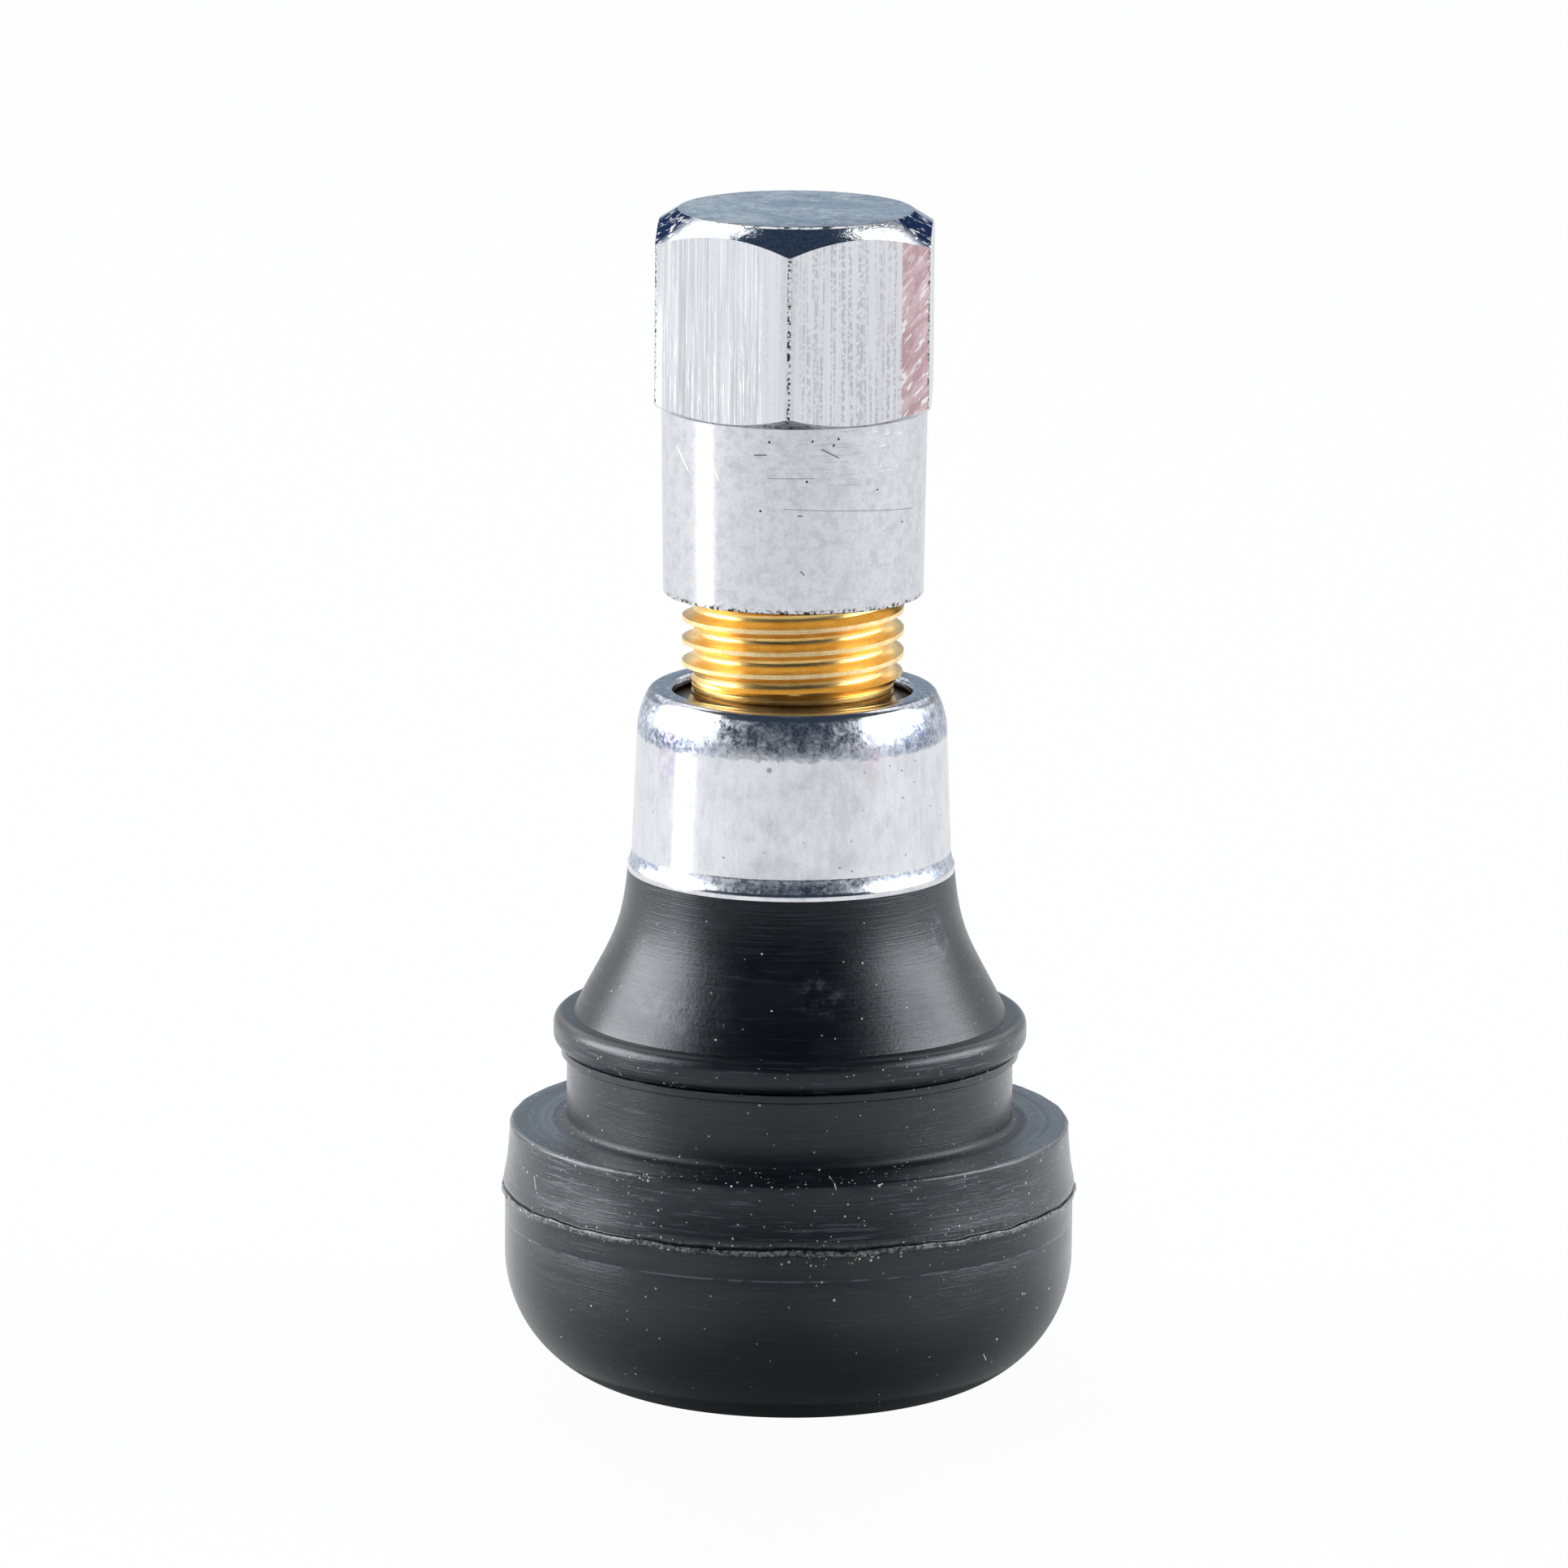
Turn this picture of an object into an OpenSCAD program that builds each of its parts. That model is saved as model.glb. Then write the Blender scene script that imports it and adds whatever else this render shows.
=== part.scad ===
// Snap-in tyre valve: moulded rubber body, brass stem, chrome sleeve, chrome hex cap and valve core.
// Millimetres. The valve's axis is Z, and its origin is the centre of the rubber base's flat bottom.

/* [Rubber body] */
// Radius of the base's lower wall
base_r = 10; // [9.6:0.05:11]
// Height of the base, from its bottom to the ledge that bears on the rim
base_h = 9.32; // [8.6:0.02:11]
// Round under the base
base_round = 4.65; // [3:0.05:4.7]
// Height of the mould's parting bead
bead_z = 7.28; // [6:0.02:7.6]
// How far the parting bead stands out from the lower wall
bead_out = 0.16; // [0.05:0.01:0.3]
// Radius of the bead's round section
bead_round = 0.5; // [0.35:0.05:0.8]
// Radius of the base's upper wall at the ledge
ledge_r = 9.87; // [9:0.01:10]
// Round at the ledge's edge
ledge_round = 0.35; // [0.1:0.05:0.6]
// Radius of the neck, which fills the rim hole
neck_r = 7.84; // [7.6:0.02:8.2]
// Fillet between the neck and the ledge
neck_fillet = 0.45; // [0.1:0.05:0.8]
// Width of the rim groove, from the ledge to the collar
groove_w = 2.4; // [1.8:0.05:4]
// How far the collar's moulded step stands out from the neck
step_out = 0.2; // [0.1:0.01:0.3]
// Height of the collar's moulded step
step_h = 0.33; // [0.2:0.01:0.5]
// How far the collar stands out from the neck
collar_out = 0.47; // [0.35:0.01:0.7]
// Height of the collar above its step
collar_h = 1.19; // [1:0.01:1.8]
// Round at the collar's edges
collar_round = 0.42; // [0.2:0.02:0.46]
// How far the flare's foot stays inside the collar's edge
flare_inset = 0.7; // [0.5:0.02:1.2]
// Height of the flare, from the collar to the sleeve
flare_h = 5.11; // [4:0.05:7]
// Radius of the air hole in the base
air_hole_r = 2.3; // [1.8:0.05:3]
// Round at the mouth of the air hole
air_hole_round = 0.5; // [0.2:0.05:0.8]

/* [Chrome sleeve] */
// Length of the sleeve
sleeve_h = 6.49; // [5.5:0.05:9]
// Thickness of the sleeve's sheet
sleeve_wall = 0.45; // [0.3:0.01:0.6]
// Radius of the sleeve just above its lower lip
sleeve_low_r = 5.59; // [5.5:0.01:6]
// Radius of the sleeve where its dome starts
sleeve_top_r = 5.43; // [5.3:0.01:5.6]
// Height of the dome
dome_h = 1.65; // [1.2:0.05:2]
// Radius of the dome's curve
dome_round = 3.1; // [2.6:0.05:4]
// Round between the dome and the sleeve's flat top
crown_round = 0.4; // [0.2:0.02:0.5]
// How far the lower lip flares out
lip_out = 0.15; // [0.05:0.01:0.25]
// Height of the flared lip
lip_h = 0.75; // [0.5:0.05:1.2]
// Gap between the sleeve's mouth and the stem
mouth_gap = 0.64; // [0.4:0.02:0.7]

/* [Brass stem] */
// Diameter of the outer valve thread
thread_d = 7.75; // [7.3:0.05:7.8]
// Length of the plain relief between the sleeve's top and the thread
relief_l = 0.65; // [0.4:0.05:1.5]
// How far the stem stands out of the sleeve
stem_out = 13.2; // [13:0.05:15]
// Depth of the relief below the thread
relief_depth = 0.345; // [0.2:0.005:0.5]
// Chamfer at the stem's tip
tip_chamfer = 0.45; // [0.2:0.05:0.6]
// Thickness of the flange under the sleeve
flange_h = 0.8; // [0.5:0.05:1.2]
// Radius of the stem inside the rubber
tube_r = 3.75; // [3.5:0.05:4]
// How far each anchor barb stands out into the rubber
barb_out = 0.5; // [0.2:0.05:0.8]
// Number of anchor barbs
barbs = 5; // [3:1:6]
// Distance between anchor barbs
barb_pitch = 2; // [1.6:0.05:2.1]
// Height of the stem's foot above the base's bottom
foot_z = 7.6; // [6.5:0.05:8]
// How far the foot stands out from the stem
foot_out = 1.3; // [0.8:0.05:1.6]
// Thickness of the foot
foot_h = 1; // [0.6:0.05:1.3]
// Length of the lead from the core's thread in the bore down to its throat
throat_lead = 0.655; // [0.4:0.005:1]
// Radius of the air passage up the stem
passage_r = 1.5; // [1:0.05:1.7]

/* [Cap] */
// Thickness of the cap's wall where the skirt meets the hexagon
cap_wall = 0.715; // [0.5:0.005:1.2]
// How far the skirt narrows from the hexagon to its mouth
skirt_taper = 0.08; // [0:0.01:0.15]
// How far the hexagon's flats stand out from the skirt
hex_out = 0.12; // [0.05:0.01:0.6]
// Length of the hexagon
hex_h = 6.95; // [6:0.05:9]
// How far the flat top face stays inside the hexagon's flats
top_inset = 0.65; // [0.4:0.05:1.2]
// Height of the top chamfer at the hexagon's corners
top_chamfer_h = 0.89; // [0.5:0.02:1.4]
// Height of the chamfer under the hexagon's corners
low_chamfer_h = 0.47; // [0.2:0.02:0.8]
// Length of the skirt below the hexagon
skirt_h = 6.53; // [5:0.05:9]
// Chamfer inside the cap's mouth
mouth_chamfer = 0.3; // [0.1:0.02:0.4]
// Depth of the cap from its mouth to the roof that holds the seal
cap_depth = 10.8; // [10.2:0.05:11.2]
// Radial clearance of the cap on the thread
cap_fit = 0.04; // [0.02:0.01:0.08]
// Thickness of the cap's seal
seal_t = 1; // [0.6:0.05:1.4]
// Depth of the groove that holds the seal
seal_groove = 0.15; // [0.1:0.01:0.25]
// Radial clearance of the seal in its groove
seal_fit = 0.05; // [0.02:0.01:0.08]

/* [Valve core] */
// Radius of the core's threaded plug
plug_r = 2.6; // [2.5:0.02:2.7]
// Clearance between the core's fixed pieces
core_fit = 0.02; // [0.01:0.005:0.05]
// Distance of the plug's bridge below the stem's tip
bridge_drop = 2.2; // [2.1:0.05:2.8]
// Height of the plug's bridge
bridge_h = 1.9; // [1.4:0.05:2.4]
// How far the bridge's ends stay inside the plug's thread
bridge_inset = 0.468; // [0.2:0.002:0.6]
// Width of the bridge across its two flats
bridge_w = 2.2; // [1.8:0.05:2.6]
// Length of the plug's thread
plug_l = 3.1; // [2.4:0.05:3.6]
// Radius of the barrel
barrel_r = 1.85; // [1.8:0.01:1.95]
// Thickness of the barrel's wall
barrel_wall = 0.4; // [0.36:0.01:0.5]
// Length of the barrel below the plug
barrel_l = 8.3; // [7.5:0.05:9]
// Thickness of the barrel's floor, which the spring stands on
floor_h = 0.7; // [0.5:0.05:1]
// Thickness of the barrel's swivel neck and of its collar
neck_wall = 0.24; // [0.2:0.01:0.28]
// Play of the swivel in the plug
swivel_play = 0.05; // [0.02:0.01:0.08]
// Height of the barrel's swivel collar
swivel_h = 0.5; // [0.3:0.05:0.6]
// Depth of the barrel's groove for the packing
packing_groove = 0.2; // [0.1:0.01:0.22]
// Distance of the packing below the barrel's shoulder
packing_drop = 2.2; // [1.6:0.05:2.6]
// Height of the packing
packing_h = 1.8; // [1.4:0.05:2.2]
// How far the packing's upper edge stays inside the plug's thread
packing_inset = 0.22; // [0.1:0.01:0.26]
// How far the packing narrows to its lower edge
packing_taper = 0.26; // [0.15:0.01:0.28]
// Radius of the pin
pin_r = 0.45; // [0.4:0.01:0.5]
// Running clearance of the pin in the bridge
pin_fit = 0.05; // [0.03:0.01:0.08]
// Distance of the pin's head below the stem's tip
pin_drop = 0.25; // [0.1:0.05:0.3]
// Radius of the pin's head
pin_head_r = 0.75; // [0.65:0.05:0.9]
// Height of the pin's head
pin_head_h = 0.5; // [0.3:0.05:0.55]
// Gap between the barrel's bore and the pin's collar, which the spring pushes up
pin_collar_gap = 0.25; // [0.2:0.01:0.32]
// Height of the pin's collar
pin_collar_h = 0.6; // [0.4:0.05:0.8]
// Length of the spring with the core closed
spring_l = 5; // [4.4:0.05:5.6]
// Thickness of the spring's wire
spring_wire = 0.28; // [0.2:0.01:0.32]
// Number of turns of the spring
spring_turns = 7; // [5:1:9]
// Radius of the cup at the pin's lower end
cup_r = 1.65; // [1.55:0.01:1.75]
// Thickness of the cup's wall and floor
cup_wall = 0.28; // [0.2:0.01:0.35]
// Height of the cup's seal
cup_seal_h = 0.95; // [0.7:0.05:1.2]
// How far the seal stands above the cup's rim
cup_seal_out = 0.25; // [0.15:0.01:0.35]
// Radius of the pin's riveted end under the cup
rivet_r = 0.685; // [0.6:0.005:0.9]
// Height of the pin's riveted end
rivet_h = 0.3; // [0.2:0.05:0.5]
// Free room under the pin in the stem's chamber
chamber_room = 1.8; // [1.6:0.05:2.5]

/* [Hidden] */
$fn = 96;
flare_steps = 16;
overcut = 1;
hex_sides = 6;

// Heights of the rubber body
step_z = base_h + groove_w;
collar_z = step_z + step_h;
flare_z = collar_z + collar_h;
sleeve_z = flare_z + flare_h;
collar_r = neck_r + collar_out;
lip_r = sleeve_low_r + lip_out;

// Heights and radii of the sleeve
sleeve_top = sleeve_z + sleeve_h;
dome_z = sleeve_top - dome_h;
seat_z = sleeve_top - sleeve_wall;
crown_dz = dome_h - crown_round;
crown_dr = sqrt(pow(dome_round - crown_round, 2) - pow(crown_dz, 2));
crown_angle = atan2(crown_dz, crown_dr);
crown_r = sleeve_top_r - dome_round + crown_dr;
seat_r = dome_r_at(seat_z) - sleeve_wall;

// Heights and radii of the stem
tip_z = sleeve_top + stem_out;
thread_z = sleeve_top + relief_l;
thread_r = thread_d / 2;
relief_r = thread_r - relief_depth;
mouth_r = relief_r + mouth_gap;
flange_z = seat_z - flange_h;
barb_low_z = foot_z + foot_h + barb_pitch / 2;
foot_r = tube_r + foot_out;

// Heights and radii of the cap
mouth_z = tip_z + seal_t - cap_depth;
hex_z = mouth_z + skirt_h;
cap_top = hex_z + hex_h;
cap_bore_r = thread_r + cap_fit;
seal_pocket_r = cap_bore_r + seal_groove;
skirt_top_r = cap_bore_r + cap_wall;
skirt_low_r = skirt_top_r - skirt_taper;
hex_flat_r = skirt_top_r + hex_out;
hex_corner_r = hex_flat_r / cos(180 / hex_sides);
top_face_r = hex_flat_r - top_inset;

// Heights and radii of the core, from the stem's tip down
bridge_top = tip_z - bridge_drop;
plug_top = bridge_top - bridge_h;
plug_low = plug_top - plug_l;
barrel_bore_r = barrel_r - barrel_wall;
swivel_neck_r = barrel_bore_r + neck_wall;
swivel_r = swivel_neck_r + neck_wall;
swivel_z = plug_low + swivel_h;
shoulder_z = plug_low - swivel_play * 2;
barrel_low = shoulder_z - barrel_l;
floor_z = barrel_low + floor_h;
packing_z = shoulder_z - packing_drop - packing_h;
packing_r = barrel_r - packing_groove;
packing_top_r = plug_r - packing_inset;
packing_low_r = packing_top_r - packing_taper;
pin_top = tip_z - pin_drop;
pin_collar_z = floor_z + spring_l;
pin_collar_r = barrel_bore_r - pin_collar_gap;
spring_r = (barrel_bore_r + pin_r) / 2 + spring_wire / 2;
floor_hole_r = spring_r - spring_wire / 2 - core_fit;
cup_bore_r = cup_r - cup_wall;
cup_rim_z = barrel_low - cup_seal_out;
cup_floor_z = barrel_low - cup_seal_h;
cup_low = cup_floor_z - cup_wall;
pin_low = cup_low - rivet_h;
chamber_low = pin_low - chamber_room;
core_bore_r = plug_r + core_fit;
bore_throat_r = (core_bore_r + packing_top_r) / 2;

// Radius of the sleeve's dome at a height
function dome_r_at(z) =
    sleeve_top_r - dome_round + sqrt(pow(dome_round, 2) - pow(z - dome_z, 2));

// Point of a cubic curve through four control points
function curve_at(p, t) =
    pow(1 - t, 3) * p[0] + 3 * t * pow(1 - t, 2) * p[1] + 3 * t * t * (1 - t) * p[2] + pow(t, 3) * p[3];

// Flare of the rubber, from the collar in to the sleeve's lip: full at its foot, hollow above
flare_foot_r = collar_r - flare_inset;
flare_in = flare_foot_r - lip_r;
flare_controls = [
    [flare_foot_r, flare_z],
    [lip_r + 0.38 * flare_in, flare_z + 0.46 * flare_h],
    [lip_r + 0.11 * flare_in, flare_z + 0.52 * flare_h],
    [lip_r, sleeve_z]
];
flare_points = [for (i = [0:flare_steps]) curve_at(flare_controls, i / flare_steps)];

// Ring of saw teeth on the stem, from the lowest barb up
barb_points = [
    for (i = [0:barbs - 1], corner = [[0, 0], [barb_out, barb_pitch * 0.3], [0, barb_pitch * 0.4]])
        [tube_r + corner[0], barb_low_z + i * barb_pitch + corner[1]]
];

// Half section of the rubber as moulded, with no stem in it
module rubber_section() {
    square([min(seat_r, sleeve_low_r - sleeve_wall), flange_z]);
    square([base_r - base_round, base_h - ledge_round]);
    intersection() {
        translate([base_r - base_round, base_round]) circle(base_round);
        square([base_r, base_h]);
    }
    translate([0, base_round]) square([base_r, bead_z - base_round]);
    translate([base_r + bead_out - bead_round, bead_z]) circle(bead_round);
    polygon([[0, bead_z], [base_r, bead_z], [ledge_r, base_h - ledge_round], [0, base_h - ledge_round]]);
    translate([0, bead_z]) square([ledge_r - ledge_round, base_h - bead_z]);
    translate([ledge_r - ledge_round, base_h - ledge_round]) circle(ledge_round);
    translate([0, bead_z]) square([neck_r, collar_z - bead_z]);
    difference() {
        translate([neck_r, base_h]) square(neck_fillet);
        translate([neck_r + neck_fillet, base_h + neck_fillet]) circle(neck_fillet);
    }
    translate([0, step_z]) square([neck_r + step_out, collar_h]);
    translate([0, collar_z]) square([collar_r - collar_round, collar_h]);
    translate([0, collar_z + collar_round]) square([collar_r, collar_h - 2 * collar_round]);
    for (z = [collar_z + collar_round, flare_z - collar_round])
        translate([collar_r - collar_round, z]) circle(collar_round);
    polygon(concat([[0, flare_z]], flare_points, [[0, sleeve_z]]));
    intersection() {
        sleeve_hollow();
        square([lip_r, flange_z]);
    }
}

// Half section of the air hole in the base, with its rounded mouth
module air_hole_section() {
    square([air_hole_r, foot_z]);
    difference() {
        square([air_hole_r + air_hole_round, air_hole_round]);
        translate([air_hole_r + air_hole_round, air_hole_round]) circle(air_hole_round);
    }
}

// Half section of the space inside the sleeve
module sleeve_hollow() {
    polygon([
        [0, sleeve_z], [lip_r - sleeve_wall, sleeve_z], [sleeve_low_r - sleeve_wall, sleeve_z + lip_h],
        [sleeve_top_r - sleeve_wall, dome_z], [seat_r, seat_z], [0, seat_z]
    ]);
}

// Half section of the sleeve's outside, with its flared lip below and its dome above
module sleeve_outside() {
    lip_round = (pow(lip_h, 2) + pow(lip_out, 2)) / (2 * lip_out);
    difference() {
        translate([0, sleeve_z]) square([lip_r, lip_h]);
        translate([sleeve_low_r + lip_round, sleeve_z + lip_h]) circle(lip_round);
    }
    polygon([
        [0, sleeve_z + lip_h], [sleeve_low_r, sleeve_z + lip_h], [sleeve_top_r, dome_z], [0, dome_z]
    ]);
    intersection() {
        translate([sleeve_top_r - dome_round, dome_z]) circle(dome_round);
        translate([0, dome_z]) square([sleeve_top_r, dome_round * sin(crown_angle)]);
    }
    translate([crown_r, sleeve_top - crown_round]) circle(crown_round);
    translate([0, dome_z]) square([crown_r, dome_h]);
}

// Half section of the stem's outside
module stem_outside() {
    polygon(concat(
        [[0, foot_z], [foot_r, foot_z], [foot_r, foot_z + foot_h], [tube_r, foot_z + foot_h]],
        barb_points,
        [
            [tube_r, flange_z], [seat_r - core_fit, flange_z], [seat_r - core_fit, seat_z],
            [relief_r, seat_z], [relief_r, thread_z - relief_depth],
            [thread_r, thread_z], [thread_r, tip_z - tip_chamfer],
            [thread_r - tip_chamfer, tip_z], [0, tip_z]
        ]
    ));
}

// Half section of the stem's bore: core thread, throat, taper seat, chamber and air passage
module stem_bore() {
    seat_top = packing_z + packing_h;
    polygon([
        [0, foot_z - overcut], [passage_r, foot_z - overcut], [passage_r, chamber_low],
        [packing_low_r, chamber_low + packing_low_r - passage_r], [packing_low_r, packing_z],
        [packing_top_r, seat_top], [bore_throat_r, seat_top], [bore_throat_r, shoulder_z - throat_lead],
        [core_bore_r, shoulder_z], [core_bore_r, tip_z - tip_chamfer],
        [core_bore_r + tip_chamfer, tip_z + core_fit], [0, tip_z + core_fit]
    ]);
}

// Moulded rubber, bonded round the stem and open below it for the air
module rubber_body() {
    color("#26272b") rotate_extrude() difference() {
        rubber_section();
        stem_outside();
        air_hole_section();
    }
}

// Turned brass insert: foot and barbs in the rubber, flange under the sleeve, valve thread above it
module stem() {
    color("#c7a25a") rotate_extrude() difference() {
        stem_outside();
        stem_bore();
    }
}

// Drawn sheet sleeve: its turned-in mouth rests on the stem's flange
module sleeve() {
    color("#d4d6dc") rotate_extrude() difference() {
        sleeve_outside();
        sleeve_hollow();
        difference() {
            translate([0, seat_z]) square([mouth_r + sleeve_wall / 2, sleeve_wall]);
            translate([mouth_r + sleeve_wall / 2, sleeve_top - sleeve_wall / 2]) circle(sleeve_wall / 2);
        }
    }
}

// Hexagon bar with a chamfered top, turned down to a skirt and bored for the thread and the seal
module cap_shell() {
    color("#dcdde1") difference() {
        union() {
            intersection() {
                translate([0, 0, hex_z]) rotate([0, 0, 180 / hex_sides])
                    cylinder(r = hex_corner_r, h = hex_h, $fn = hex_sides);
                rotate_extrude() polygon([
                    [0, hex_z], [skirt_top_r, hex_z], [hex_corner_r, hex_z + low_chamfer_h],
                    [hex_corner_r, cap_top - top_chamfer_h], [top_face_r, cap_top], [0, cap_top]
                ]);
            }
            rotate_extrude() polygon([
                [0, mouth_z], [skirt_low_r, mouth_z], [skirt_top_r, hex_z],
                [skirt_top_r, hex_z + hex_h / 2], [0, hex_z + hex_h / 2]
            ]);
        }
        rotate_extrude() polygon([
            [0, mouth_z - mouth_chamfer], [cap_bore_r + 2 * mouth_chamfer, mouth_z - mouth_chamfer],
            [cap_bore_r, mouth_z + mouth_chamfer], [cap_bore_r, tip_z], [seal_pocket_r, tip_z],
            [seal_pocket_r, tip_z + seal_t], [0, tip_z + seal_t]
        ]);
    }
}

// Rubber disc snapped into the cap's roof, which closes on the stem's tip
module cap_seal() {
    color("#3a3431") translate([0, 0, tip_z]) cylinder(r = seal_pocket_r - seal_fit, h = seal_t);
}

// Threaded plug with a bridge that a two-pronged key turns; air passes at both sides of the bridge
module core_plug() {
    color("#c9a765") difference() {
        union() {
            translate([0, 0, plug_low]) cylinder(r = plug_r, h = plug_l);
            intersection() {
                translate([0, 0, plug_top]) cylinder(r = plug_r - bridge_inset, h = bridge_h);
                translate([-plug_r, -bridge_w / 2, plug_top]) cube([2 * plug_r, bridge_w, bridge_h]);
            }
        }
        translate([0, 0, plug_low - overcut])
            cylinder(r = pin_r + pin_fit, h = bridge_top - plug_low + 2 * overcut);
        rotate_extrude() polygon([
            [0, plug_low - overcut], [swivel_neck_r + swivel_play, plug_low - overcut],
            [swivel_neck_r + swivel_play, swivel_z - swivel_play],
            [swivel_r + swivel_play, swivel_z - swivel_play],
            [swivel_r + swivel_play, swivel_z + swivel_h + swivel_play],
            [barrel_bore_r, swivel_z + swivel_h + swivel_play], [barrel_bore_r, plug_top], [0, plug_top]
        ]);
    }
}

// Tube of the core: swivel collar in the plug, groove for the packing, floor for the spring
module core_barrel() {
    color("#bf9a55") rotate_extrude() polygon([
        [floor_hole_r, barrel_low], [barrel_r, barrel_low], [barrel_r, packing_z],
        [packing_r, packing_z], [packing_r, packing_z + packing_h], [barrel_r, packing_z + packing_h],
        [barrel_r, shoulder_z], [swivel_neck_r, shoulder_z], [swivel_neck_r, swivel_z],
        [swivel_r, swivel_z], [swivel_r, swivel_z + swivel_h], [barrel_bore_r, swivel_z + swivel_h],
        [barrel_bore_r, floor_z], [floor_hole_r, floor_z]
    ]);
}

// Conical ring in the barrel's groove, pressed on the stem's taper seat
module core_packing() {
    color("#e6e2d8") translate([0, 0, packing_z]) difference() {
        cylinder(r1 = packing_low_r, r2 = packing_top_r, h = packing_h);
        translate([0, 0, -overcut]) cylinder(r = packing_r, h = packing_h + 2 * overcut);
    }
}

// Pin: head at the stem's tip, collar over the spring, riveted end under the cup
module core_pin() {
    color("#b9b4a6") rotate_extrude() polygon([
        [0, pin_low], [rivet_r, pin_low], [rivet_r, cup_low], [pin_r, cup_low],
        [pin_r, pin_collar_z], [pin_collar_r, pin_collar_z], [pin_collar_r, pin_collar_z + pin_collar_h],
        [pin_r, pin_collar_z + pin_collar_h], [pin_r, pin_top - pin_head_h],
        [pin_head_r, pin_top - pin_head_h], [pin_head_r, pin_top], [0, pin_top]
    ]);
}

// Coil spring between the barrel's floor and the pin's collar
module core_spring() {
    sides = 8;
    rings = spring_turns * 14;
    rise = spring_l - spring_wire;
    points = [
        for (i = [0:rings], k = [0:sides - 1])
            let (turn = 360 * spring_turns * i / rings, side = 360 * k / sides)
            let (r = spring_r + spring_wire / 2 * cos(side))
            [r * cos(turn), r * sin(turn), rise * i / rings + spring_wire / 2 * (1 + sin(side))]
    ];
    walls = [
        for (i = [0:rings - 1], k = [0:sides - 1])
            let (a = i * sides, b = a + sides, next = (k + 1) % sides)
            [a + k, b + k, b + next, a + next]
    ];
    ends = [[for (k = [0:sides - 1]) k], [for (k = [sides - 1:-1:0]) rings * sides + k]];
    color("#a9abb0") translate([0, 0, floor_z]) polyhedron(points, concat(walls, ends));
}

// Cup on the pin's lower end
module core_cup() {
    color("#c09c58") rotate_extrude() polygon([
        [pin_r, cup_low], [cup_r, cup_low], [cup_r, cup_rim_z], [cup_bore_r, cup_rim_z],
        [cup_bore_r, cup_floor_z], [pin_r, cup_floor_z]
    ]);
}

// Rubber ring in the cup, which closes the barrel's lower end
module core_cup_seal() {
    color("#33302e") translate([0, 0, cup_floor_z]) difference() {
        cylinder(r = cup_bore_r, h = cup_seal_h);
        translate([0, 0, -overcut]) cylinder(r = pin_r, h = cup_seal_h + 2 * overcut);
    }
}

rubber_body();
stem();
sleeve();
cap_shell();
cap_seal();
core_plug();
core_barrel();
core_packing();
core_pin();
core_spring();
core_cup();
core_cup_seal();
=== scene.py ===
import math

import bpy
from mathutils import Matrix, Vector, noise


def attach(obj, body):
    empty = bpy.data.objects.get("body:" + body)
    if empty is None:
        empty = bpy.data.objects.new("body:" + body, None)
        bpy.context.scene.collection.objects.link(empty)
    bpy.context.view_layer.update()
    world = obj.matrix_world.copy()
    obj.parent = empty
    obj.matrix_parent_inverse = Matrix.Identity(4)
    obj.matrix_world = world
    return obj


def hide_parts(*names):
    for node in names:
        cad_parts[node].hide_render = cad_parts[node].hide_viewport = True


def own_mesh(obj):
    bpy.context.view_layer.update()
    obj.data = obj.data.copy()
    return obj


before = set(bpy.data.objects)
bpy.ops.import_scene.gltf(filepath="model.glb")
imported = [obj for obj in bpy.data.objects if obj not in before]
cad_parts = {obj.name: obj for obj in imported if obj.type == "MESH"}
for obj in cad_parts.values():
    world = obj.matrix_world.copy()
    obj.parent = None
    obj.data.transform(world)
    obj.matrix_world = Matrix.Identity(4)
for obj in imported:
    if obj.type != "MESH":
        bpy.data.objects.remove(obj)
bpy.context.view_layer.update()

# Brass stem: a bar of free-cutting brass turned with a foot and barbs that hold it in the rubber,
# a flange under the sleeve and a bore for the valve core. The valve thread is cut with a die.
MM = 0.001
THREAD_PITCH = 0.79375
THREAD_START = 25.32
THREAD_R = 3.875
THREAD_CREST = 0.15
THREAD_DEPTH = 0.41
ROOT_SHARES = (0, 0.04, 0.12, 0.22, 0.34, 0.5, 0.66, 0.78, 0.88, 0.96)
ROOT_FULLNESS = 2.5
SCREW_STEPS = 120
RUN_OUT_R = 3.36
RUN_OUT_Z = 24.92
STEM_TIP = 38.04
TIP_CHAMFER = 0.45
FOOT_R = 5.05
FOOT_Z = 7.6
FOOT_TOP = 8.6
TUBE_R = 3.75
BARB_R = 4.25
BARB_STEP = 2
FLANGE_Z = 23.59
SEAT_Z = 24.39
RELIEF_R = 3.53
RING_R = 3.43
RING_STEP = 0.25
MERGE = 1e-6
SAW_CUT = 1e-7
LINE_FINENESS = 14


def arc(centre_r, centre_z, radius, start, end, steps=8):
    """Points of a rounded corner in a half outline; angles in degrees, 0 outwards and 90 up."""
    angles = [math.radians(start + (end - start) * i / steps) for i in range(steps + 1)]
    return [(centre_r + radius * math.cos(a), centre_z + radius * math.sin(a)) for a in angles]


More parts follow.
